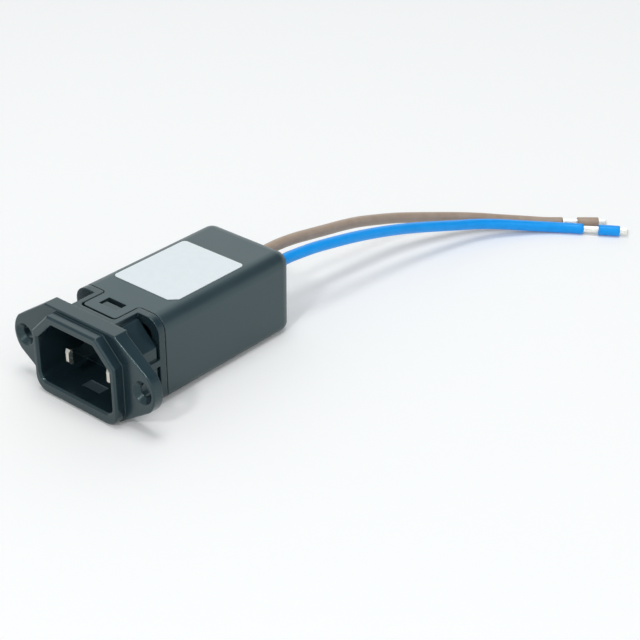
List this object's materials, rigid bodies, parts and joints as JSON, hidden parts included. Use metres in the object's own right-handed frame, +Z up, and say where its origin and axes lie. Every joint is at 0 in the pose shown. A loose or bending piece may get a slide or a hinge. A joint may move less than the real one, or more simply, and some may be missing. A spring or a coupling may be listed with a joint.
{
  "type": "emi line filter",
  "caption": "Two-pole mains inlet on a two-ear screw flange, with a push-fit rear case that holds the filter board and two free leads.",
  "frame": {"origin": "middle of the flange's front face, between the two screw holes", "axes": "+X to the right as seen from the plug side, +Y to the rear, from the inlet to the leads, +Z up to the face with the label"},
  "size_m": [0.0764, 0.1644, 0.023],
  "materials": {
    "black_moulding": "glossy black moulded plastic",
    "black_case": "satin black moulded plastic",
    "plated_brass": "bright nickel plating on brass",
    "label_film": "bare matt film label",
    "board": "green glass-fibre laminate",
    "ferrite": "dull grey sintered ferrite",
    "copper": "enamelled copper wire",
    "capacitor_yellow": "yellow moulded box",
    "resistor_body": "beige lacquer",
    "tinned_wire": "tinned copper strands",
    "brown_insulation": "smooth brown flexible insulation",
    "blue_insulation": "smooth blue flexible insulation"
  },
  "bodies": {
    "root": {"inlet_housing": "black_moulding", "line_blade": "plated_brass", "neutral_blade": "plated_brass", "rear_case": "black_case", "rating_label": "label_film", "circuit_board": "board", "choke_core": "ferrite", "line_winding": "copper", "neutral_winding": "copper", "choke_divider": "board", "inlet_capacitor": "capacitor_yellow", "output_capacitor": "capacitor_yellow", "bleed_resistor": "resistor_body", "line_inner_end": "tinned_wire", "neutral_inner_end": "tinned_wire", "line_lead": "brown_insulation", "neutral_lead": "blue_insulation", "line_strands": "tinned_wire", "neutral_strands": "tinned_wire", "line_slug": "brown_insulation", "neutral_slug": "blue_insulation"}
  },
  "joints": []
}
